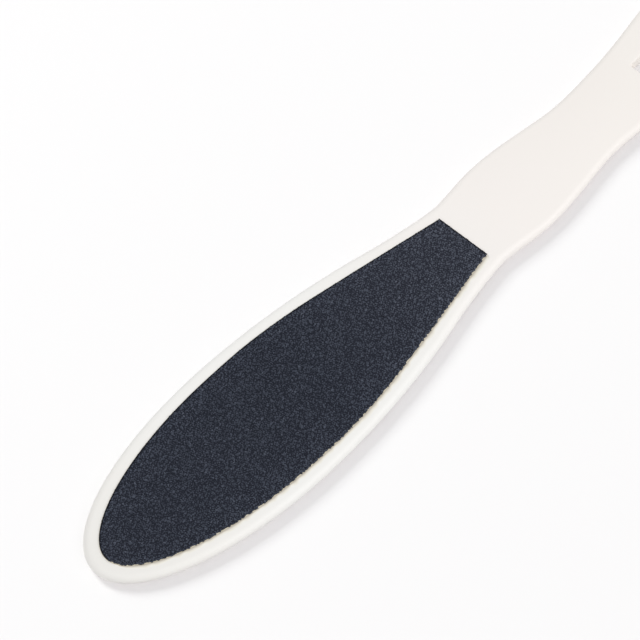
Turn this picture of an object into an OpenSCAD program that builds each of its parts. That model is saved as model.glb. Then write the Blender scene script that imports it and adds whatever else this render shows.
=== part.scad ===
// Foot file: one moulded plastic paddle with an abrasive sheet glued into each
// side of its blade. It lies on its fine side, coarse side up, with the blade's
// tip towards -X, the handle towards +X and the table at Z 0.

/* [Overall] */
// Length from the blade's tip to the end of the handle
overall_len = 254; // [240:1:280]

/* [Blade] */
// Width of the blade at its widest place
blade_w = 46; // [40:0.5:52]
// Thickness of the moulded blade between its two flat faces
blade_t = 3.2; // [2.6:0.1:5]
// Distance from the blade's tip to its widest place
widest_at = 62.5; // [55:0.5:75]
// Distance from the blade's tip to the neck, where the blade meets the grip
neck_at = 143; // [136:0.5:150]
// Width across the neck
neck_w = 24.4; // [21:0.2:28]
// How far the rounded edge reaches in from the outline
edge_run = 1.9; // [1.2:0.1:2.2]

/* [Handle] */
// Width of the grip, the swelling behind the neck
grip_w = 27; // [25:0.2:31]
// Distance from the neck to the grip's widest place
grip_reach = 16.5; // [13:0.5:20]
// Width of the waist, the narrowest place of the handle
waist_w = 21; // [18:0.2:24]
// Distance from the neck to the waist
waist_reach = 46; // [42:0.5:52]
// Width of the flared end
flare_w = 32; // [28:0.5:36]
// Length of the rounded end, from the widest place of the flare to the tail
tail_len = 16; // [13:0.5:20]
// Thickness of the handle along its middle
handle_t = 3.7; // [3:0.1:5]
// How much each face of the handle falls from its middle to its shoulders
handle_crown = 0.4; // [0.1:0.05:0.6]

/* [Hang slot] */
// Length of the slot that the file hangs from
slot_len = 30; // [20:1:34]
// Width of the slot
slot_w = 8.3; // [6:0.1:11]
// Distance from the slot to the tail
slot_end_wall = 14; // [10:0.5:16]
// Radius of the slot's corners
slot_corner_r = 0.8; // [0.4:0.1:1.6]
// Width of the eased edge where the slot meets each face
slot_ease = 0.5; // [0.2:0.1:0.8]

/* [Abrasive sheets] */
// Width of the plain rim beside a sheet at the blade's widest place
side_rim = 3.9; // [3:0.1:6]
// Width of the plain rim in front of a sheet at the blade's tip
tip_rim = 4.1; // [3.5:0.1:8]
// Width of the plain rim beside the sheet's square end
end_rim = 3.9; // [3:0.1:5]
// Distance from the sheet's square end to the neck
end_gap = 2.5; // [1:0.1:6]
// Thickness of the adhesive film under each sheet
film_t = 0.15; // [0.1:0.01:0.25]
// Thickness of the coarse sheet's backing paper
coarse_paper_t = 0.22; // [0.15:0.01:0.4]
// Thickness of the coarse sheet's grit coat
coarse_grit_t = 0.28; // [0.2:0.01:0.5]
// Thickness of the fine sheet's backing paper
fine_paper_t = 0.2; // [0.15:0.01:0.4]
// Thickness of the fine sheet's grit coat
fine_grit_t = 0.16; // [0.1:0.01:0.35]
// Gap between a sheet's edge and the wall of the recess that it is glued into
sheet_clear = 0.12; // [0.05:0.01:0.3]
// How far the grit coat stops short of the cut edge of its paper
grit_set_back = 0.1; // [0.05:0.01:0.3]

/* [Hidden] */

// Overrun of the cuts, so that they pass the faces that they open
cut_over = 1;

// Steps along the outline, one count for each stretch of it
tip_steps = 22;
taper_steps = 26;
swell_steps = 7;
draw_in_steps = 10;
flare_steps = 15;
tail_steps = 16;
// Steps round each quarter of the rounded edge, and across each crowned half face
edge_steps = 5;
face_steps = 3;
// Steps along a sheet's round front and along its straighter sides
sheet_front_steps = 24;
sheet_side_steps = 20;

// Powers of the round ends: 2 gives an ellipse, and more gives a squarer end
tip_power = 2.05;
sheet_power = 1.95;
tail_power = 2.35;

// Each table has shares of the way along a stretch, and of the change of width
// that is done there. A gentle curve runs through its points.
taper_shares = [[0, 0], [0.2, 0.055], [0.4, 0.205], [0.6, 0.45], [0.8, 0.775], [1, 1]];
swell_shares = [[0, 0], [0.35, 0.38], [0.7, 0.85], [1, 1]];
draw_in_shares = [[0, 0], [0.3, 0.2], [0.6, 0.6], [0.85, 0.93], [1, 1]];
flare_shares = [[0, 0], [0.3, 0.14], [0.5, 0.36], [0.7, 0.67], [0.85, 0.88], [1, 1]];
sheet_shares = [[0, 0], [0.2, 0.03], [0.4, 0.19], [0.6, 0.445], [0.8, 0.72], [1, 1]];
// Slope of each curve at its start and at its end, in the same shares
taper_slope_shares = [0, 0.55];
swell_slope_shares = [0.85, 0];
draw_in_slope_shares = [0, 0];
flare_slope_shares = [0, 0];
sheet_slope_shares = [0, 1.4];

// Places along X, measured from the blade's tip
grip_at = neck_at + grip_reach;
waist_at = neck_at + waist_reach;
flare_at = overall_len - tail_len;
sheet_end_at = neck_at - end_gap;

// Half widths of a sheet
sheet_half_w = blade_w / 2 - side_rim;
sheet_end_half_w = neck_w / 2 - end_rim;

// Heights. The file rests on its fine grit, or on its handle if that is thicker.
fine_proud = fine_paper_t + fine_grit_t;
mid_z = max(blade_t / 2 + fine_proud, handle_t / 2);
coarse_face_z = mid_z + blade_t / 2;
fine_face_z = mid_z - blade_t / 2;
blade_half_t = blade_t / 2;
shoulder_half_t = handle_t / 2 - handle_crown;

ivory = [0.953, 0.937, 0.918];
film_tone = [0.87, 0.85, 0.78];
paper_tone = [0.74, 0.58, 0.42];
coarse_tone = [0.2, 0.21, 0.24];
fine_tone = [0.3, 0.31, 0.34];

// A step from 0 to 1 that starts and ends level
function ease(t) = let (s = min(max(t, 0), 1)) s * s * (3 - 2 * s);

// Slope of a table of shares at its point i, with the given slopes at its ends
function slope_at(table, ends, i) =
    i == 0 ? ends[0]
    : i == len(table) - 1 ? ends[1]
    : (table[i + 1][1] - table[i - 1][1]) / (table[i + 1][0] - table[i - 1][0]);

// The last point of the table that lies at or before t
function step_of(table, t) =
    max([for (i = [0 : len(table) - 2]) table[i][0] <= t ? i : 0]);

// Value of the gentle curve through a table of shares
function through(table, ends, t) =
    let (
        i = step_of(table, t),
        run = table[i + 1][0] - table[i][0],
        u = (t - table[i][0]) / run,
        rise = table[i + 1][1] - table[i][1]
    )
    table[i][1] + rise * ease(u)
        + run * slope_at(table, ends, i) * u * (1 - u) * (1 - u)
        - run * slope_at(table, ends, i + 1) * u * u * (1 - u);

// A stretch of the outline from one place and half width to the next
function stretch(from, to, table, ends, steps) = [
    for (k = [1 : steps])
        let (t = k / steps)
        [from[0] + (to[0] - from[0]) * t, from[1] + (to[1] - from[1]) * through(table, ends, t)]
];

// A quarter of a rounded end, as distance from its tip and half width
function round_end(depth, half_w, power, angle) = [
    depth * (1 - pow(cos(angle), 2 / power)),
    half_w * pow(sin(angle), 2 / power)
];

// One side of the paddle from the blade's tip to the tail
paddle_side = concat(
    [for (k = [0 : tip_steps]) round_end(widest_at, blade_w / 2, tip_power, 90 * k / tip_steps)],
    stretch([widest_at, blade_w / 2], [neck_at, neck_w / 2],
        taper_shares, taper_slope_shares, taper_steps),
    stretch([neck_at, neck_w / 2], [grip_at, grip_w / 2],
        swell_shares, swell_slope_shares, swell_steps),
    stretch([grip_at, grip_w / 2], [waist_at, waist_w / 2],
        draw_in_shares, draw_in_slope_shares, draw_in_steps),
    stretch([waist_at, waist_w / 2], [flare_at, flare_w / 2],
        flare_shares, flare_slope_shares, flare_steps),
    [for (k = [1 : tail_steps])
        let (p = round_end(tail_len, flare_w / 2, tail_power, 90 - 90 * k / tail_steps))
        [overall_len - p[0], p[1]]]
);
last_row = len(paddle_side) - 1;

// Outward direction of the outline at row i of the side
function outward(i) =
    i == 0 ? [-1, 0]
    : i == last_row ? [1, 0]
    : let (run = paddle_side[i + 1] - paddle_side[i - 1]) [-run[1], run[0]] / norm(run);

// How far row i has passed from the blade's section to the handle's
function handle_part(i) = ease((paddle_side[i][0] - neck_at) / grip_reach);
function half_t(i) =
    blade_half_t + (shoulder_half_t - blade_half_t) * handle_part(i);

// A point of the rounded edge at row i, from -90 below to 90 above
function edge_point(i, angle) =
    let (p = paddle_side[i] - outward(i) * edge_run * (1 - cos(angle)))
    [p[0], max(p[1], 0), half_t(i) * sin(angle)];

// A point of the face at row i, at a share of the way out from the middle line
function face_point(i, out_share) =
    let (shoulder = edge_point(i, 90), crown = handle_crown * handle_part(i))
    [shoulder[0], shoulder[1] * out_share, shoulder[2] + crown * (1 - out_share * out_share)];

// Half a ring, from the middle of the lower face round the edge to the upper one
function half_ring(i) = concat(
    [for (k = [0 : face_steps - 1]) let (p = face_point(i, k / face_steps)) [p[0], p[1], -p[2]]],
    [for (k = [-edge_steps : edge_steps]) edge_point(i, 90 * k / edge_steps)],
    [for (k = [face_steps - 1 : -1 : 0]) face_point(i, k / face_steps)]
);
half_count = 2 * face_steps + 2 * edge_steps + 1;
ring_count = 2 * half_count - 2;

// A whole ring: one half, then its mirror without the two middle points
function ring(i) =
    let (half = half_ring(i))
    concat(half, [for (k = [half_count - 2 : -1 : 1]) [half[k][0], -half[k][1], half[k][2]]]);

// At the tip and the tail a ring closes into one upright arc of the rounded edge
function arc(i) = [for (k = [-edge_steps : edge_steps]) edge_point(i, 90 * k / edge_steps)];
arc_count = 2 * edge_steps + 1;
function arc_place(j) =
    let (k = j < half_count ? j : ring_count - j)
    min(max(k - face_steps, 0), arc_count - 1);

// Number of point j of row i in the list of all points
function place(i, j) =
    let (jj = j % ring_count)
    i == 0 ? arc_place(jj)
    : i == last_row ? arc_count + (last_row - 1) * ring_count + arc_place(jj)
    : arc_count + (i - 1) * ring_count + jj;

function whole(tri) = tri[0] != tri[1] && tri[1] != tri[2] && tri[2] != tri[0];

// The lofted skin of the paddle, flat faced at the blade and crowned at the handle
module paddle_skin() {
    points = concat(arc(0), [for (i = [1 : last_row - 1]) each ring(i)], arc(last_row));
    faces = [
        for (i = [0 : last_row - 1], j = [0 : ring_count - 1])
            let (a = place(i, j), b = place(i, j + 1), c = place(i + 1, j + 1), d = place(i + 1, j))
            each [[a, b, c], [a, c, d]]
    ];
    translate([-overall_len / 2, 0, mid_z])
        polyhedron(points = points, faces = [for (tri = faces) if (whole(tri)) tri]);
}

// One side of a sheet from its round front to its square end
sheet_side = concat(
    [for (k = [0 : sheet_front_steps])
        let (p = round_end(widest_at - tip_rim, sheet_half_w, sheet_power, 90 * k / sheet_front_steps))
        [tip_rim + p[0], p[1]]],
    stretch([widest_at, sheet_half_w], [sheet_end_at, sheet_end_half_w],
        sheet_shares, sheet_slope_shares, sheet_side_steps)
);
sheet_last = len(sheet_side) - 1;

// Outward direction of the sheet's outline at point i of its side
function sheet_outward(i) =
    i == 0 ? [-1, 0]
    : let (run = sheet_side[min(i + 1, sheet_last)] - sheet_side[i - 1]) [-run[1], run[0]] / norm(run);

// The sheet's outline moved outwards by grow, or inwards where grow is negative
module sheet_outline(grow = 0) {
    side = [
        for (i = [0 : sheet_last])
            sheet_side[i] + sheet_outward(i) * grow + [i == sheet_last ? grow : 0, 0]
    ];
    translate([-overall_len / 2, 0])
        polygon(concat(side, [for (i = [sheet_last : -1 : 1]) [side[i][0], -side[i][1]]]));
}

// A flat layer of a sheet, from its lower face at height z
module sheet_layer(z, thick, grow = 0) {
    translate([0, 0, z]) linear_extrude(height = thick) sheet_outline(grow);
}

// A rectangle of the slot's size with round corners
module slot_outline(grow = 0) {
    length = slot_len + 2 * grow;
    width = slot_w + 2 * grow;
    radius = slot_corner_r + grow;
    square([length - 2 * radius, width], center = true);
    square([length, width - 2 * radius], center = true);
    for (x = [-1, 1], y = [-1, 1])
        translate([x * (length / 2 - radius), y * (width / 2 - radius)])
            circle(r = radius, $fn = 32);
}

// The hang slot right through the handle, eased at both faces
module slot_cut() {
    slot_x = overall_len / 2 - slot_end_wall - slot_len / 2;
    face_z = handle_t / 2;
    translate([slot_x, 0, mid_z]) {
        translate([0, 0, -face_z - cut_over])
            linear_extrude(height = handle_t + 2 * cut_over) slot_outline();
        for (side = [0, 1])
            mirror([0, 0, side]) hull() {
                translate([0, 0, face_z]) linear_extrude(height = cut_over) slot_outline(slot_ease);
                translate([0, 0, face_z - slot_ease])
                    linear_extrude(height = slot_ease) slot_outline();
            }
    }
}

// The moulded paddle, with a shallow recess in each face of its blade
module paddle() {
    color(ivory) difference() {
        paddle_skin();
        sheet_layer(coarse_face_z - film_t, film_t + cut_over, sheet_clear);
        sheet_layer(fine_face_z - cut_over, film_t + cut_over, sheet_clear);
        slot_cut();
    }
}

// The adhesive film that fills the recess of the coarse side
module coarse_adhesive_film() {
    color(film_tone) sheet_layer(coarse_face_z - film_t, film_t);
}

// The coarse sheet's backing paper, flat on its film
module coarse_backing_paper() {
    color(paper_tone) sheet_layer(coarse_face_z, coarse_paper_t);
}

// The coarse grit bonded to the top of its paper
module coarse_grit_coat() {
    color(coarse_tone)
        sheet_layer(coarse_face_z + coarse_paper_t, coarse_grit_t, -grit_set_back);
}

// The adhesive film that fills the recess of the fine side
module fine_adhesive_film() {
    color(film_tone) sheet_layer(fine_face_z, film_t);
}

// The fine sheet's backing paper, flat on its film
module fine_backing_paper() {
    color(paper_tone) sheet_layer(fine_face_z - fine_paper_t, fine_paper_t);
}

// The fine grit bonded to the underside of its paper
module fine_grit_coat() {
    color(fine_tone)
        sheet_layer(fine_face_z - fine_proud, fine_grit_t, -grit_set_back);
}

paddle();
coarse_adhesive_film();
coarse_backing_paper();
coarse_grit_coat();
fine_adhesive_film();
fine_backing_paper();
fine_grit_coat();
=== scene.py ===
# Foot file: an ivory plastic paddle with a coarse abrasive sheet on its upper face
# and a fine one underneath, lying on a white table. The blade's tip points to -X.
import math
import random

import bmesh
import bpy
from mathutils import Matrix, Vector


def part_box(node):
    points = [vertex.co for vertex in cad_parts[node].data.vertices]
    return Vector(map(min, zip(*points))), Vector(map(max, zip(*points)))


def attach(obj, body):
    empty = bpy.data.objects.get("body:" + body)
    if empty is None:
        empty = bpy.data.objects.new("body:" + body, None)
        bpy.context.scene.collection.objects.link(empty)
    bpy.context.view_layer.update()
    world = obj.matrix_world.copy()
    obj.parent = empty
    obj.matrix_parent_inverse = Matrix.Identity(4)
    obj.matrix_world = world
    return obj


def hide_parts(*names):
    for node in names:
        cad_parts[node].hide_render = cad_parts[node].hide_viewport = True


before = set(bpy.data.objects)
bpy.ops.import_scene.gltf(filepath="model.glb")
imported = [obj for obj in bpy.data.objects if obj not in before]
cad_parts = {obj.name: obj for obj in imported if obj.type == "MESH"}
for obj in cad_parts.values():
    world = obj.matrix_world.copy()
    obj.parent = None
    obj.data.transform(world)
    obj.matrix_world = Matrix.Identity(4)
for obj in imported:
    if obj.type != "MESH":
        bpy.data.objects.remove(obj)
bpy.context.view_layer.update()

# Camera: it looks down on the file from the tip's side, from so far away with so long
# a lens that lines stay parallel, as they do in the photograph. The picture is centred
# on a point of the coarse sheet and cuts the handle off at its slot.
view_azimuth = math.radians(-47.94)
view_elevation = math.radians(55.12)
view_width = 0.16493
view_from_tip = 0.0961
view_off_axis = 0.00973
view_reach = 30
lens_mm = 1500
sensor_mm = 36

coat_low, coat_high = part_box("coarse_grit_coat")
paddle_low, paddle_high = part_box("paddle")
view_centre = Vector((paddle_low.x + view_from_tip, view_off_axis, coat_high.z))
towards_camera = Vector((
    math.sin(view_azimuth) * math.cos(view_elevation),
    -math.cos(view_azimuth) * math.cos(view_elevation),
    math.sin(view_elevation),
))
camera_data = bpy.data.cameras.new("camera")
camera_data.lens = lens_mm
camera_data.sensor_width = sensor_mm
camera_data.sensor_fit = "HORIZONTAL"
camera_data.clip_end = view_reach
camera = bpy.data.objects.new("camera", camera_data)
camera.rotation_mode = "QUATERNION"
camera.location = view_centre + towards_camera * (view_width * lens_mm / sensor_mm)
camera.rotation_quaternion = (-towards_camera).to_track_quat("-Z", "Y")
bpy.context.scene.collection.objects.link(camera)
bpy.context.scene.camera = camera
bpy.context.scene.view_settings.view_transform = "Standard"

# Table: a plain white surface that keeps the soft shadow of the file. The file's grit
# rests on it, so it lies a hair lower than the lowest grain.
table_half_size = 6
table_drop = 0.00002
table_colour = (226, 224, 225)
table_roughness = 0.9


def picture_colour(red, green, blue):
    """A picture colour, from 0 to 255, in linear light by the standard sRGB curve."""
    shares = [value / 255 for value in (red, green, blue)]
    return [s / 12.92 if s <= 0.04045 else ((s + 0.055) / 1.055) ** 2.4 for s in shares] + [1]


def finish_named(name, colour, roughness=0.5, gloss=0.5):
    """A material with one shader, given its picture colour, roughness and specular level."""
    material = bpy.data.materials.new(name)
    material.use_nodes = True
    inputs = material.node_tree.nodes["Principled BSDF"].inputs
    inputs["Base Color"].default_value = picture_colour(*colour)
    inputs["Roughness"].default_value = roughness
    inputs["Specular IOR Level"].default_value = gloss
    return material


def piece_from(name, mesh_maker, material):
    """An object at the origin that holds the mesh of a bmesh, linked to the scene."""
    mesh = bpy.data.meshes.new(name)
    mesh_maker.to_mesh(mesh)
    mesh_maker.free()
    mesh.materials.append(material)
    piece = bpy.data.objects.new(name, mesh)
    bpy.context.scene.collection.objects.link(piece)
    return piece


table_white = finish_named("table_white", table_colour, table_roughness, gloss=0)
table_mesh = bmesh.new()
bmesh.ops.create_grid(table_mesh, x_segments=1, y_segments=1, size=table_half_size)
bmesh.ops.translate(table_mesh, verts=table_mesh.verts, vec=(0, 0, -table_drop))
table = piece_from("table", table_mesh, table_white)

# Light: a pale room all round, a front and a left panel that fill in the near edge and
# the tip without a shadow of the paddle, and a back panel that lights the table alone
# and throws the file's one soft shadow towards the camera's right.
room_level = 0.61
front_level = 0.26
left_level = 0.18
back_level = 0.335
back_colour = (0.942, 1, 0.97)
front_direction = Vector((0.4, -0.6, 0.74)).normalized()
left_direction = Vector((-0.5, 0.25, 0.75)).normalized()
back_direction = Vector((0.0, 1.35, 1.0)).normalized()
panel_distance = 3.0
fill_size = 2.0
back_size = 1.2

world = bpy.data.worlds.new("pale_room")
bpy.context.scene.world = world
world.use_nodes = True
world_nodes = world.node_tree.nodes
world_links = world.node_tree.links
room = world_nodes["Background"]
room.inputs["Color"].default_value = (1, 1, 1, 1)
room.inputs["Strength"].default_value = room_level
backdrop = world_nodes.new("ShaderNodeBackground")
backdrop.inputs["Color"].default_value = (1, 1, 1, 1)
backdrop.inputs["Strength"].default_value = 1
ray = world_nodes.new("ShaderNodeLightPath")
seen_ray = ray.outputs["Is Camera Ray"]
for kind in ("Is Glossy Ray", "Is Transmission Ray"):
    either = world_nodes.new("ShaderNodeMath")
    either.operation = "MAXIMUM"
    world_links.new(seen_ray, either.inputs[0])
    world_links.new(ray.outputs[kind], either.inputs[1])
    seen_ray = either.outputs[0]
world_mix = world_nodes.new("ShaderNodeMixShader")
world_links.new(seen_ray, world_mix.inputs["Fac"])
world_links.new(room.outputs[0], world_mix.inputs[1])
world_links.new(backdrop.outputs[0], world_mix.inputs[2])
world_links.new(world_mix.outputs[0], world_nodes["World Output"].inputs["Surface"])


def add_panel(name, direction, size, level):
    """A square lamp aimed at the file that lights a level surface to the given level."""
    panel_data = bpy.data.lights.new(name, "AREA")
    panel_data.shape = "SQUARE"
    panel_data.size = size
    panel_data.energy = level * (math.pi * panel_distance) ** 2 / direction.z
    panel = bpy.data.objects.new(name, panel_data)
    panel.rotation_mode = "QUATERNION"
    panel.location = direction * panel_distance
    panel.rotation_quaternion = (-direction).to_track_quat("-Z", "Y")
    bpy.context.scene.collection.objects.link(panel)
    return panel


front_panel = add_panel("front_panel", front_direction, fill_size, front_level)
back_panel = add_panel("back_panel", back_direction, back_size, back_level)
left_panel = add_panel("left_panel", left_direction, fill_size, left_level)
back_panel.data.color = back_colour
table_alone = bpy.data.collections.new("table_alone")
table_alone.objects.link(table)
back_panel.light_linking.receiver_collection = table_alone

# Paddle: blade and handle in one injection moulding of ivory plastic. The blade's faces
# are flat with a shallow recess for each sheet, the handle's are crowned, and one
# rounded edge runs all round.
paper_low, paper_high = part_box("coarse_backing_paper")
fine_paper_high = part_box("fine_backing_paper")[1]
film_low, film_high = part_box("coarse_adhesive_film")
fine_film_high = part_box("fine_adhesive_film")[1]
tip_x = paddle_low.x
tail_x = paddle_high.x
middle_z = (paper_low.z + fine_paper_high.z) / 2
blade_half_thick = (paper_low.z - fine_paper_high.z) / 2
handle_half_thick = (paddle_high.z - paddle_low.z) / 2
handle_crown = 0.0004
edge_run = 0.0019

widest_from_tip = 0.0625
neck_from_tip = 0.143
grip_from_neck = 0.0165
waist_from_neck = 0.046
tail_length = 0.016
widest_x = tip_x + widest_from_tip
neck_x = tip_x + neck_from_tip
grip_x = neck_x + grip_from_neck
waist_x = neck_x + waist_from_neck
flare_x = tail_x - tail_length
blade_half_width = paddle_high.y
neck_half_width = 0.0122
grip_half_width = 0.0135
waist_half_width = 0.0105
flare_half_width = 0.016
tip_power = 2.05
tail_power = 2.35

taper_shares = [(0, 0), (0.2, 0.055), (0.4, 0.205), (0.6, 0.45), (0.8, 0.775), (1, 1)]
swell_shares = [(0, 0), (0.35, 0.38), (0.7, 0.85), (1, 1)]
draw_in_shares = [(0, 0), (0.3, 0.2), (0.6, 0.6), (0.85, 0.93), (1, 1)]
flare_shares = [(0, 0), (0.3, 0.14), (0.5, 0.36), (0.7, 0.67), (0.85, 0.88), (1, 1)]

slot_start_from_tail = 0.044
slot_end_from_tail = 0.014
slot_start_x = tail_x - slot_start_from_tail
slot_end_x = tail_x - slot_end_from_tail
slot_half_width = 0.00415
slot_corner = 0.0008
slot_ease = 0.0005
slot_column_shares = (0.15, 0.7)

row_step = 0.001
tip_steps = 48
tail_steps = 34
edge_steps = 12
ease_steps = 4
edge_column = 0.0002
outline_reach = 0.00002
merge_distance = 0.000001
slack = 0.00001
level_turn = 0.5


def ease(t):
    """A step from 0 to 1 that starts and ends level."""
    s = min(max(t, 0), 1)
    return s * s * (3 - 2 * s)


def through(points, end_slopes, t):
    """The value at t of the gentle curve that runs through a table of shares."""
    last = len(points) - 1
    i = max(k for k in range(last) if points[k][0] <= t or k == 0)

    def slope(k):
        if k in (0, last):
            return end_slopes[0 if k == 0 else 1]
        rise = points[k + 1][1] - points[k - 1][1]
        return rise / (points[k + 1][0] - points[k - 1][0])

    run = points[i + 1][0] - points[i][0]
    rise = points[i + 1][1] - points[i][1]
    u = (t - points[i][0]) / run
    bend = slope(i) * u * (1 - u) ** 2 - slope(i + 1) * u * u * (1 - u)
    return points[i][1] + rise * ease(u) + run * bend


def rounded_end(distance, length, half_width, power):
    """Half width of a rounded end at a distance from its tip."""
    rest = 1 - min(max(distance / length, 0), 1)
    return half_width * (1 - rest ** power) ** (1 / power)


paddle_stretches = [
    (widest_x, neck_x, blade_half_width, neck_half_width, taper_shares, (0, 0.55)),
    (neck_x, grip_x, neck_half_width, grip_half_width, swell_shares, (0.85, 0)),
    (grip_x, waist_x, grip_half_width, waist_half_width, draw_in_shares, (0, 0)),
    (waist_x, flare_x, waist_half_width, flare_half_width, flare_shares, (0, 0)),
]


def paddle_half_width(x):
    """Half width of the paddle at a place along its length."""
    if x <= widest_x:
        return rounded_end(x - tip_x, widest_x - tip_x, blade_half_width, tip_power)
    for start, end, from_width, to_width, points, slopes in paddle_stretches:
        if x <= end:
            share = through(points, slopes, (x - start) / (end - start))
            return from_width + (to_width - from_width) * share
    return rounded_end(tail_x - x, tail_length, flare_half_width, tail_power)


def outward(x):
    """Direction square to the outline at x, away from the paddle's middle line."""
    if x - tip_x < outline_reach or tail_x - x < outline_reach:
        return Vector((-1 if x < 0 else 1, 0))
    rise = paddle_half_width(x + outline_reach) - paddle_half_width(x - outline_reach)
    return Vector((-rise, 2 * outline_reach)).normalized()


def paddle_section(x):
    """Half of the paddle's section at x, from the middle of its upper face round the
    edge to the middle of its lower face, as points. One column of points follows the
    side of the slot, and the last one on each face runs close along the rounded edge."""
    away = outward(x)
    half_width = paddle_half_width(x)
    handle = ease((x - neck_x) / (grip_x - neck_x))
    crown = handle_crown * handle
    shoulder = blade_half_thick + (handle_half_thick - crown - blade_half_thick) * handle
    shoulder_x = x - away.x * edge_run
    shoulder_y = max(half_width - away.y * edge_run, 0)
    column_y = max(shoulder_y, edge_column)
    least, most = slot_column_shares
    inner = min(max(slot_half_width / column_y, least), most)
    outer = max(1 - edge_column / column_y, inner)
    between = [inner + (outer - inner) / 3, inner + (outer - inner) * 2 / 3]
    on_slot_row = x in (slot_start_x, slot_end_x)
    upper = [
        Vector((x if on_slot_row and s <= inner else shoulder_x, shoulder_y * s,
                shoulder + crown * (1 - s * s)))
        for s in [0, inner / 2, inner] + between + [outer]
    ]
    edge = []
    for k in range(2 * edge_steps + 1):
        angle = math.pi / 2 * (1 - k / edge_steps)
        inset = edge_run * (1 - math.cos(angle))
        edge.append(Vector((x - away.x * inset, max(half_width - away.y * inset, 0),
                            shoulder * math.sin(angle))))
    lower = [Vector((p.x, p.y, -p.z)) for p in reversed(upper)]
    return [p + Vector((0, 0, middle_z)) for p in upper + edge + lower]


def ring_of(x):
    """The whole section at x as a closed ring that ends on its first point."""
    half = paddle_section(x)
    return half + [Vector((p.x, -p.y, p.z)) for p in reversed(half[:-1])]


def roll_grid(rings):
    """A bmesh grid laid over the rings, one row of it on each ring, with doubles merged."""
    skin = bmesh.new()
    row_count = len(rings) - 1
    column_count = len(rings[0]) - 1
    half = 0.5
    bmesh.ops.create_grid(skin, x_segments=row_count, y_segments=column_count, size=half)
    for vert in skin.verts:
        row = round((vert.co.x + half) * row_count)
        column = round((vert.co.y + half) * column_count)
        vert.co = rings[row][column]
    bmesh.ops.remove_doubles(skin, verts=skin.verts, dist=merge_distance)
    bmesh.ops.recalc_face_normals(skin, faces=skin.faces)
    return skin


def ease_edges(skin, edges, width):
    """Rounds some edges of a bmesh and points its faces outwards again."""
    bmesh.ops.bevel(skin, geom=edges, affect="EDGES", offset=width,
                    segments=ease_steps, profile=0.5, material=-1)
    bmesh.ops.recalc_face_normals(skin, faces=skin.faces)


rows = [
    widest_x - (widest_x - tip_x) * math.cos(math.pi / 2 * k / tip_steps) ** (2 / tip_power)
    for k in range(tip_steps)
]
middle_rows = round((flare_x - widest_x) / row_step)
rows += [widest_x + (flare_x - widest_x) * k / middle_rows for k in range(middle_rows)]
rows += [
    flare_x + tail_length * math.sin(math.pi / 2 * k / tail_steps) ** (2 / tail_power)
    for k in range(tail_steps + 1)
]
rows = [x for x in rows if min(abs(x - slot_start_x), abs(x - slot_end_x)) > row_step / 2]
rows = sorted(rows + [slot_start_x, slot_end_x])
paddle_mesh = roll_grid([ring_of(x) for x in rows])

over_slot = [
    face for face in paddle_mesh.faces
    if all(abs(v.co.y) < slot_half_width + slack
           and slot_start_x - slack < v.co.x < slot_end_x + row_step / 2 for v in face.verts)
]
bmesh.ops.delete(paddle_mesh, geom=over_slot, context="FACES")
slot_rims = [edge for edge in paddle_mesh.edges if edge.is_boundary]
bmesh.ops.bridge_loops(paddle_mesh, edges=slot_rims)
upright = [
    edge for edge in paddle_mesh.edges
    if abs(edge.verts[0].co.z - edge.verts[1].co.z) > handle_half_thick
    and all(min(abs(v.co.x - slot_start_x), abs(v.co.x - slot_end_x)) < slack
            and abs(abs(v.co.y) - slot_half_width) < slack for v in edge.verts)
]
ease_edges(paddle_mesh, upright, slot_corner)
slot_lips = [
    edge for edge in paddle_mesh.edges
    if len(edge.link_faces) == 2
    and slot_start_x - slack < edge.verts[0].co.x < slot_end_x + slack
    and abs(edge.verts[0].co.y) < slot_half_width + slack
    and abs(abs(edge.link_faces[0].normal.z) - abs(edge.link_faces[1].normal.z)) > level_turn
]
ease_edges(paddle_mesh, slot_lips, slot_ease)

sheet_power = 1.95
sheet_shares = [(0, 0), (0.2, 0.03), (0.4, 0.19), (0.6, 0.445), (0.8, 0.72), (1, 1)]
sheet_slopes = (0, 1.4)
sheet_tip_x = paper_low.x
sheet_end_x = paper_high.x
sheet_half = paper_high.y
sheet_end_rim = 0.0039
sheet_end_half = neck_half_width - sheet_end_rim
sheet_clear = 0.00012
outline_steps = 200
recess_step = 0.0006
recess_overrun = 0.001
sharp_turn = math.radians(35)


def sheet_half_width(x):
    """Half width at x of the outline that both sheets are cut to."""
    if x <= widest_x:
        return rounded_end(x - sheet_tip_x, widest_x - sheet_tip_x, sheet_half, sheet_power)
    share = through(sheet_shares, sheet_slopes, (x - widest_x) / (sheet_end_x - widest_x))
    return sheet_half + (sheet_end_half - sheet_half) * share


def even_points(path, step):
    """Points about a step apart along a path of points, with both of its ends."""
    lengths = [(b - a).length for a, b in zip(path, path[1:])]
    count = max(round(sum(lengths) / step), 1)
    spacing = sum(lengths) / count
    points = [path[0]]
    walked = 0
    for start, end, length in zip(path, path[1:], lengths):
        while len(points) < count and walked + length >= spacing * len(points):
            points.append(start.lerp(end, (spacing * len(points) - walked) / length))
        walked += length
    return points + [path[-1]]


def sheet_rim(grow, step):
    """Points about a step apart round the sheets' outline moved outwards by grow."""
    front = [
        widest_x - (widest_x - sheet_tip_x) * math.cos(math.pi / 2 * k / outline_steps)
        for k in range(outline_steps)
    ]
    back = [
        widest_x + (sheet_end_x - widest_x) * k / outline_steps
        for k in range(outline_steps + 1)
    ]
    side = [Vector((x, sheet_half_width(x))) for x in front + back]
    grown = [Vector((sheet_tip_x - grow, 0))]
    for before, point, after in zip(side, side[1:], side[2:] + side[-1:]):
        along = (after - before).normalized()
        grown.append(point + Vector((-along.y, along.x)) * grow)
    grown[-1] = Vector((sheet_end_x + grow, grown[-1].y))
    curved = [Vector((p.x, -p.y)) for p in reversed(grown)] + grown[1:]
    across = [grown[-1], Vector((grown[-1].x, -grown[-1].y))]
    return even_points(curved, step) + even_points(across, step)[1:-1]


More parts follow.
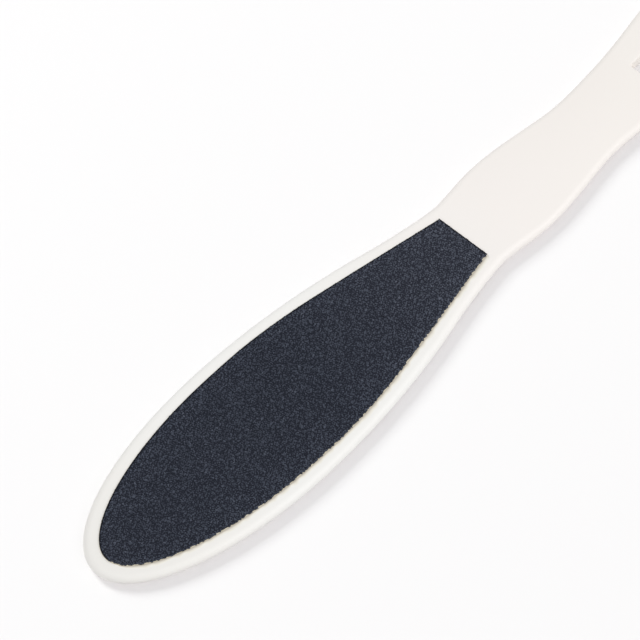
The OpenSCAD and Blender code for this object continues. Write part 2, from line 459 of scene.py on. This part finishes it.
def sheet_slab(rim, bottom, top):
    """A closed bmesh slab over the outline of a rim, between two heights."""
    slab = bmesh.new()
    disc = bmesh.ops.create_circle(slab, cap_ends=True, segments=len(rim), radius=1)
    for vert, point in zip(disc["verts"], rim):
        vert.co = (point.x, point.y, bottom)
    grown = bmesh.ops.extrude_face_region(slab, geom=slab.faces[:])
    raised = [item for item in grown["geom"] if isinstance(item, bmesh.types.BMVert)]
    bmesh.ops.translate(slab, verts=raised, vec=(0, 0, top - bottom))
    bmesh.ops.recalc_face_normals(slab, faces=slab.faces)
    return slab


ivory_colour = (242, 241, 237)
ivory_roughness = (0.4, 0.6)
# The ivory is darker towards the blade's tip as painted shade and paler at the handle's end as
# painted light; the handle's warmer hue is the plastic's own tint.
ivory_tint_and_painted_light = [
    (0, (236, 234, 230)), (0.1, (240, 238, 234)), (0.2, (242, 241, 238)),
    (0.4, (242, 241, 238)), (0.6, (245, 240, 236)), (0.8, (244, 239, 234)),
    (1, (246, 243, 238)),
]
satin_pit = 0.0003
satin_depth = 0.000003


def drive(material, socket, output):
    """Joins an output to an input of a material's shader."""
    shader = material.node_tree.nodes["Principled BSDF"]
    material.node_tree.links.new(output, shader.inputs[socket])


def share_along(material, start_x, end_x):
    """The share, from 0 to 1, of the way between two places along the file."""
    nodes = material.node_tree.nodes
    links = material.node_tree.links
    place = nodes.new("ShaderNodeTexCoord")
    axes = nodes.new("ShaderNodeSeparateXYZ")
    along = nodes.new("ShaderNodeMapRange")
    along.inputs["From Min"].default_value = start_x
    along.inputs["From Max"].default_value = end_x
    links.new(place.outputs["Object"], axes.inputs["Vector"])
    links.new(axes.outputs["X"], along.inputs["Value"])
    return along.outputs["Result"]


def tone_ramp(material, share, tones):
    """The picture colours of a table of tones, blended from one to the next by a share."""
    ramp = material.node_tree.nodes.new("ShaderNodeValToRGB")
    elements = ramp.color_ramp.elements
    for element, (position, colour) in ((elements[0], tones[0]), (elements[1], tones[-1])):
        element.position = position
        element.color = picture_colour(*colour)
    for position, colour in tones[1:-1]:
        elements.new(position).color = picture_colour(*colour)
    material.node_tree.links.new(share, ramp.inputs["Fac"])
    return ramp.outputs["Color"]


def fine_noise(material, speck, flattened=1):
    """A noise fixed to the piece, with specks of the given size that are thinner than
    wide, up through the piece, by the factor flattened."""
    nodes = material.node_tree.nodes
    links = material.node_tree.links
    place = nodes.new("ShaderNodeTexCoord")
    scaled = nodes.new("ShaderNodeMapping")
    scaled.inputs["Scale"].default_value = (1 / speck, 1 / speck, flattened / speck)
    specks = nodes.new("ShaderNodeTexNoise")
    specks.inputs["Scale"].default_value = 1
    links.new(place.outputs["Object"], scaled.inputs["Vector"])
    links.new(scaled.outputs["Vector"], specks.inputs["Vector"])
    return specks.outputs["Fac"]


def give_texture(material, noise, depth, roughness):
    """A bump of the given depth and a gloss that varies between the two values of
    roughness, both from a noise."""
    nodes = material.node_tree.nodes
    links = material.node_tree.links
    bump = nodes.new("ShaderNodeBump")
    bump.inputs["Distance"].default_value = depth
    gloss = nodes.new("ShaderNodeMapRange")
    gloss.inputs["To Min"].default_value = roughness[0]
    gloss.inputs["To Max"].default_value = roughness[1]
    links.new(noise, bump.inputs["Height"])
    links.new(noise, gloss.inputs["Value"])
    drive(material, "Normal", bump.outputs["Normal"])
    drive(material, "Roughness", gloss.outputs["Result"])


ivory = finish_named("ivory_plastic", ivory_colour)
give_texture(ivory, fine_noise(ivory, satin_pit), satin_depth, ivory_roughness)
# Base colour along the file: painted shade at the tip and painted light at the handle's end,
# with the plastic's tint.
drive(ivory, "Base Color", tone_ramp(ivory, share_along(ivory, tip_x, tail_x), ivory_tint_and_painted_light))
paddle = piece_from("moulded_paddle", paddle_mesh, ivory)
recess_rim = sheet_rim(sheet_clear, recess_step)
for name, bottom, top in (
    ("coarse_recess", film_low.z, paddle_high.z + recess_overrun),
    ("fine_recess", paddle_low.z - recess_overrun, fine_film_high.z),
):
    cutter = piece_from(name, sheet_slab(recess_rim, bottom, top), ivory)
    cut = paddle.modifiers.new(name, "BOOLEAN")
    cut.operation = "DIFFERENCE"
    cut.solver = "EXACT"
    cut.object = cutter
    graph = bpy.context.evaluated_depsgraph_get()
    paddle_cut = bpy.data.meshes.new_from_object(paddle.evaluated_get(graph))
    paddle.modifiers.clear()
    paddle.data = paddle_cut
    bpy.data.objects.remove(cutter)
paddle.data.name = "moulded_paddle"
for polygon in paddle.data.polygons:
    polygon.use_smooth = True
paddle.data.set_sharp_from_angle(angle=sharp_turn)
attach(paddle, "root")
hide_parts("paddle")

# The two fill panels shine through the paddle, so it throws no shadow in their light.
fill_light_passes = bpy.data.collections.new("fill_light_passes")
fill_light_passes.objects.link(paddle)
fill_light_passes.collection_objects[0].light_linking.link_state = "EXCLUDE"
front_panel.light_linking.blocker_collection = fill_light_passes
left_panel.light_linking.blocker_collection = fill_light_passes

# Adhesive films: acrylic glue, one in the recess under each sheet. A little of the one
# under the coarse sheet was pressed out on to the rim along the sheet's torn side, where it
# thins to nothing; its colour is a yellowish glue tint with painted shadow of the sheet.
glue_lump = 0.0008
glue_depth = 0.00001
film_colour = (200, 186, 148)
film_tones = [(0.3, (194, 178, 137)), (0.7, (206, 194, 159))]
film_roughness = (0.1, 0.3)
# Bead tones, darkest at its crest by the sheet: glue tint with painted shadow of the sheet on
# the rim.
glue_and_painted_shadow_tones = [
    (0, (187, 180, 167)), (0.25, (206, 200, 188)), (0.5, (230, 225, 214)),
    (0.75, (239, 236, 227)), (1, (242, 240, 236)),
]
glue_bead_roughness = (0.3, 0.5)
bead_step = 0.0005
bead_narrow = 0.0007
bead_wide = 0.0014
bead_waver = 3
bead_height = 0.00008
bead_fade = 0.006
bead_seed = 5


def dress_node(name, material):
    """Gives a CAD node one material in place of its own."""
    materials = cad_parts[name].data.materials
    materials.clear()
    materials.append(material)


def stored_share(material, name):
    """The share that the points or faces of a piece hold under a name."""
    stored = material.node_tree.nodes.new("ShaderNodeAttribute")
    stored.attribute_name = name
    return stored.outputs["Fac"]


def moved_in(rim, depths):
    """The rim with each of its points moved inwards by its own depth."""
    points = []
    for before, point, after, depth in zip(rim[-1:] + rim, rim, rim[1:] + rim[:1], depths):
        along = (after - before).normalized()
        points.append(point + Vector((along.y, -along.x)) * depth)
    return points


def wavering(count, low, high, reach):
    """Values that wander smoothly and at random between two bounds."""
    knots = [random.uniform(low, high) for _ in range(count // reach + 2)]
    return [
        knots[k // reach] + (knots[k // reach + 1] - knots[k // reach]) * ease(k % reach / reach)
        for k in range(count)
    ]


film_amber = finish_named("acrylic_film", film_colour)
amber_cloud = fine_noise(film_amber, glue_lump)
give_texture(film_amber, amber_cloud, glue_depth, film_roughness)
drive(film_amber, "Base Color", tone_ramp(film_amber, amber_cloud, film_tones))
dress_node("fine_adhesive_film", film_amber)

random.seed(bead_seed)
cut_line = sheet_rim(0, bead_step)
pressed = [
    ease(-p.y / bead_fade) if p.x < sheet_end_x - bead_step / 2 else 0 for p in cut_line
]
reaches = wavering(len(cut_line), bead_narrow, bead_wide, bead_waver)
spread = [max(reach * share, sheet_clear) for reach, share in zip(reaches, pressed)]
bead_line = moved_in(cut_line, [-reach for reach in spread])
recess_wall = moved_in(cut_line, [-sheet_clear] * len(cut_line))
film_rings = [
    [Vector((at_cut.x, at_cut.y, film_high.z)),
     Vector((at_cut.x, at_cut.y, film_high.z + bead_height * share)),
     Vector((at_bead.x, at_bead.y, film_high.z)),
     Vector((at_wall.x, at_wall.y, film_high.z)),
     Vector((at_wall.x, at_wall.y, film_low.z))]
    for at_cut, at_bead, at_wall, share in zip(cut_line, bead_line, recess_wall, pressed)
]
film_mesh = roll_grid(film_rings + film_rings[:1])
open_loops = [edge for edge in film_mesh.edges if edge.is_boundary]
bmesh.ops.holes_fill(film_mesh, edges=open_loops, sides=0)
bmesh.ops.recalc_face_normals(film_mesh, faces=film_mesh.faces)
thinning = film_mesh.verts.layers.float.new("thinning")
for vert in film_mesh.verts:
    vert[thinning] = 0 if vert.co.z > film_high.z + bead_height / 2 else 1

# The bead's material: glue tint with painted shadow of the sheet, fading out across the bead.
glue_bead_and_shadow = finish_named("glue_bead_painted_shadow", glue_and_painted_shadow_tones[0][1])
give_texture(glue_bead_and_shadow, fine_noise(glue_bead_and_shadow, glue_lump), glue_depth, glue_bead_roughness)
drive(glue_bead_and_shadow, "Base Color",
      tone_ramp(glue_bead_and_shadow, stored_share(glue_bead_and_shadow, "thinning"), glue_and_painted_shadow_tones))
pressed_film = piece_from("pressed_film", film_mesh, glue_bead_and_shadow)
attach(pressed_film, "root")
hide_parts("coarse_adhesive_film")

# Backing papers: heavy tan paper, die cut with its grit already on. The cut edge shows
# as a thin fibrous line under the dark coat, with the fibres lying flat in the sheet.
fibre_length = 0.0004
fibre_flatness = 8
fibre_depth = 0.00001
kraft_colour = (205, 197, 178)
kraft_tones = [(0.3, (194, 184, 162)), (0.7, (215, 209, 193))]
kraft_roughness = (0.8, 0.9)

kraft = finish_named("kraft_paper", kraft_colour)
fibres = fine_noise(kraft, fibre_length, fibre_flatness)
give_texture(kraft, fibres, fibre_depth, kraft_roughness)
drive(kraft, "Base Color", tone_ramp(kraft, fibres, kraft_tones))
dress_node("coarse_backing_paper", kraft)
dress_node("fine_backing_paper", kraft)

# Coarse grit coat: sharp silicon carbide grains bonded in dark resin on the paper. Each
# grain is a small crystal sunk in the resin. A row of smaller ones follows the cut, which
# is clean and dark along one side, its grains near black as painted shade, and torn along the
# other.
grit_set_back = 0.00004
grit_roughness = 0.6
grit_gloss = 0.05
grain_tones = (0.24, 1)
# Near-black grains along the clean side and the square end: painted shade along the sheet's
# edge.
clean_edge_painted_shade = (0, 0.1)
torn_edge_tones = (0.4, 1)
resin_tone = 0.15
# The grit's colour is made paler towards the sheet's long edges, within this reach.
paling_reach = 0.012
paling_gain = 0.19
# The grit is painted paler from partway along the blade to the sheet's square end, as painted
# light.
handle_end_painted_light = (0.41, 0.36, 0.31)
painted_light_from_tip = 0.085
longest_bite = 2
site_jitter = 0.25
lowest_top_share = 0.6
edge_inset_share = 0.8
grain_size_shares = (0.75, 1.2)
corner_shares = (0.8, 1.15)
grain_batch = 24

coarse_thick = coat_high.z - coat_low.z
coarse_resin_share = 0.15
coarse_gap = 0.00066
coarse_grain = 0.0004
coarse_border = 0.0004
coarse_edge_gap = 0.0003
coarse_edge_grain = 0.00024
coarse_overhang = 0.00012
coarse_torn = 0.0003
coarse_corners = (7, 8, 9)
coarse_seed = 7
coarse_tones = [
    (0, (14, 15, 19)), (0.15, (35, 38, 47)), (0.3, (57, 61, 72)), (0.6, (64, 69, 80)),
    (0.95, (70, 75, 87)), (1, (80, 85, 97)),
]


def torn_depths(rim, overhang, torn):
    """How far each point of a rim lies inwards: nothing on the clean side, by uneven bites
    on the torn side, where some stray outwards, and a hair outwards at the square end."""
    depths = []
    while len(depths) < len(rim):
        depths += [random.uniform(-overhang, torn)] * random.randint(1, longest_bite)
    square_end = sheet_end_x - 2 * grit_set_back
    return [
        -overhang if point.x > square_end else depth if point.y < 0 else 0
        for point, depth in zip(rim, depths)
    ]


def grain_sites(gap, border):
    """Loosely spaced places for grains all over a sheet, in staggered rows, none of them
    nearer to its edge than the border."""
    sites = []
    row_gap = gap * math.sqrt(3) / 2
    for row in range(int((sheet_end_x - sheet_tip_x) / row_gap) + 1):
        for place in range(int(2 * sheet_half / gap) + 1):
            stray_x = random.uniform(-site_jitter, site_jitter) * gap
            stray_y = random.uniform(-site_jitter, site_jitter) * gap
            x = sheet_tip_x + row * row_gap + stray_x
            y = -sheet_half + (place + row % 2 / 2) * gap + stray_y
            inside = sheet_tip_x + border < x < sheet_end_x - border
            if inside and abs(y) < sheet_half_width(x - border / 2) - border:
                sites.append(Vector((x, y)))
    return sites


def edge_paling(site):
    """How much paler the grit at a site is made: from 0 well inside to 1 at the edge."""
    depth = max(sheet_half_width(min(site.x, sheet_end_x)) - abs(site.y), 0)
    return max(1 - depth / paling_reach, 0) ** 2


def grain_layers(grit):
    """Two new layers for a bmesh of grit, the tone and the edge paling of each of its faces."""
    layers = grit.faces.layers.float
    layers.new("grain_tone")
    layers.new("edge_paling")
    return layers["grain_tone"], layers["edge_paling"]


def add_grain(batch, site, top, size, corner_count, tone, tones, palings):
    """One crystal of random shape round a site, with its highest corner at the given
    height and none below the paper. Its faces take their tone and edge paling in two layers."""
    corners = []
    for _ in range(corner_count):
        spoke = Vector([random.gauss(0, 1) for _ in range(3)]).normalized()
        corners.append(batch.verts.new(spoke * size * random.uniform(*corner_shares)))
    bmesh.ops.convex_hull(batch, input=corners)
    rise = Vector((site.x, site.y, top - max(vert.co.z for vert in corners)))
    paling = edge_paling(site)
    for vert in corners:
        vert.co += rise
        vert.co.z = max(vert.co.z, 0)
        for face in vert.link_faces:
            face[tones] = tone
            face[palings] = paling


def grit_coat(thick, resin_share, size, corner_counts, sites, edge_size, rim, depths):
    """A coat of grit lying face up on the level of z = 0, as a bmesh. Its grains are made
    in small batches, because the operator that makes one is slow in a large bmesh."""
    coat = sheet_slab(moved_in(rim, depths), 0, resin_share * thick)
    tones = grain_layers(coat)[0]
    for face in coat.faces:
        face[tones] = resin_tone
    edge_sites = moved_in(rim, [depth + edge_inset_share * edge_size for depth in depths])
    grains = [(site, size, random.uniform(*grain_tones)) for site in sites]
    for site in edge_sites:
        torn = site.y < 0 and site.x < sheet_end_x - edge_size
        edge_tones = torn_edge_tones if torn else clean_edge_painted_shade
        grains.append((site, edge_size, random.uniform(*edge_tones)))
    part = bpy.data.meshes.new("part")
    for first in range(0, len(grains), grain_batch):
        batch = bmesh.new()
        tones, palings = grain_layers(batch)
        for site, grain, tone in grains[first:first + grain_batch]:
            top = random.triangular(lowest_top_share * thick, thick, thick)
            add_grain(batch, site, top, grain * random.uniform(*grain_size_shares),
                      random.choice(corner_counts), tone, tones, palings)
        loose = [vert for vert in batch.verts if not vert.link_faces]
        bmesh.ops.delete(batch, geom=loose, context="VERTS")
        batch.to_mesh(part)
        batch.free()
        coat.from_mesh(part)
    bpy.data.meshes.remove(part)
    return coat


def grit_finish(name, tones):
    """Dark glittering grit whose grains differ in tone as the table of shares says, painted a
    little paler towards the handle as painted light, and a little paler towards its long edges."""
    material = finish_named(name, tones[0][1], grit_roughness, grit_gloss)
    nodes = material.node_tree.nodes
    links = material.node_tree.links
    colours = tone_ramp(material, stored_share(material, "grain_tone"), tones)
    # Painted light: the grit is made paler towards the handle's end.
    near_handle = share_along(material, tip_x + painted_light_from_tip, sheet_end_x)
    paler = nodes.new("ShaderNodeVectorMath")
    paler.operation = "SCALE"
    paler.inputs[0].default_value = handle_end_painted_light
    links.new(near_handle, paler.inputs["Scale"])
    edge_paler = nodes.new("ShaderNodeMath")
    edge_paler.operation = "MULTIPLY"
    edge_paler.inputs[1].default_value = paling_gain
    links.new(stored_share(material, "edge_paling"), edge_paler.inputs[0])
    gain = nodes.new("ShaderNodeVectorMath")
    gain.operation = "ADD"
    links.new(paler.outputs["Vector"], gain.inputs[0])
    links.new(edge_paler.outputs["Value"], gain.inputs[1])
    shade = nodes.new("ShaderNodeVectorMath")
    shade.operation = "MULTIPLY_ADD"
    links.new(colours, shade.inputs[0])
    links.new(gain.outputs["Vector"], shade.inputs[1])
    links.new(colours, shade.inputs[2])
    drive(material, "Base Color", shade.outputs["Vector"])
    return material


random.seed(coarse_seed)
coarse_rim = sheet_rim(-grit_set_back, coarse_edge_gap)
coarse_coat = grit_coat(
    coarse_thick, coarse_resin_share, coarse_grain, coarse_corners,
    grain_sites(coarse_gap, coarse_border), coarse_edge_grain, coarse_rim,
    torn_depths(coarse_rim, coarse_overhang, coarse_torn),
)
bmesh.ops.translate(coarse_coat, verts=coarse_coat.verts, vec=(0, 0, coat_low.z))
coarse_dark = grit_finish("silicon_carbide", coarse_tones)
coarse_grit = piece_from("coarse_grit", coarse_coat, coarse_dark)
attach(coarse_grit, "root")
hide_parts("coarse_grit_coat")

# Fine grit coat: the same silicon carbide in much smaller grains, bonded to the paper on
# the lower face. It is laid face up like the coarse one and then turned over.
fine_coat_low, fine_coat_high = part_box("fine_grit_coat")
fine_thick = fine_coat_high.z - fine_coat_low.z
fine_resin_share = 0.2
fine_gap = 0.00042
fine_grain = 0.00025
fine_border = 0.0003
fine_edge_gap = 0.00028
fine_edge_grain = 0.00014
fine_torn = 0.0001
fine_corners = (4, 5, 6)
fine_seed = 11
fine_tones = [
    (0, (14, 15, 19)), (0.15, (38, 41, 49)), (0.6, (67, 71, 82)), (1, (86, 90, 101)),
]

random.seed(fine_seed)
fine_rim = sheet_rim(-grit_set_back, fine_edge_gap)
fine_coat = grit_coat(
    fine_thick, fine_resin_share, fine_grain, fine_corners,
    grain_sites(fine_gap, fine_border), fine_edge_grain, fine_rim,
    torn_depths(fine_rim, 0, fine_torn),
)
for vert in fine_coat.verts:
    vert.co = (vert.co.x, -vert.co.y, fine_coat_high.z - vert.co.z)
fine_dark = grit_finish("fine_silicon_carbide", fine_tones)
fine_grit = piece_from("fine_grit", fine_coat, fine_dark)
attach(fine_grit, "root")
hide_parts("fine_grit_coat")
